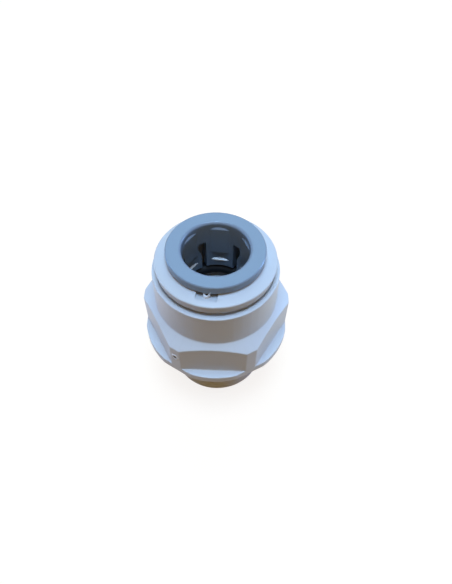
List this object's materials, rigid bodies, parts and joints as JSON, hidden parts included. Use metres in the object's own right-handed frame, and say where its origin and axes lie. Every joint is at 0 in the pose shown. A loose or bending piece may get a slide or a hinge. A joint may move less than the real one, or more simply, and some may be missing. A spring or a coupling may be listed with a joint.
{
  "type": "screw-in connector",
  "caption": "Push-fit tube connector: a moulded hexagon body with a male pipe thread, a retaining cap, and a sliding release collet with steel grip teeth over an O-ring.",
  "frame": {"origin": "centre of the thread's end face, where the connector stands", "axes": "+Z along the axis towards the collet, -Y out of the hexagon flat that faces the front"},
  "size_m": [0.0298, 0.0306, 0.0379],
  "materials": {
    "body_plastic": "light grey moulded acetal, satin",
    "cap_plastic": "light grey moulded acetal, satin",
    "collet_plastic": "blue-grey moulded acetal, satin",
    "tooth_steel": "bright stamped stainless steel",
    "seal_rubber": "black lubricated rubber"
  },
  "bodies": {
    "fitting": {"body": "body_plastic", "cap": "cap_plastic", "tube_seal": "seal_rubber"},
    "release_collet": {"collet": "collet_plastic", "grip_tooth_1": "tooth_steel", "grip_tooth_2": "tooth_steel", "grip_tooth_3": "tooth_steel", "grip_tooth_4": "tooth_steel", "grip_tooth_5": "tooth_steel", "grip_tooth_6": "tooth_steel"}
  },
  "joints": [
    {"name": "collet_slide", "type": "slide", "parent": "fitting", "child": "release_collet", "axis": [0, 0, 1], "range_m": [0, 0.0018]}
  ]
}
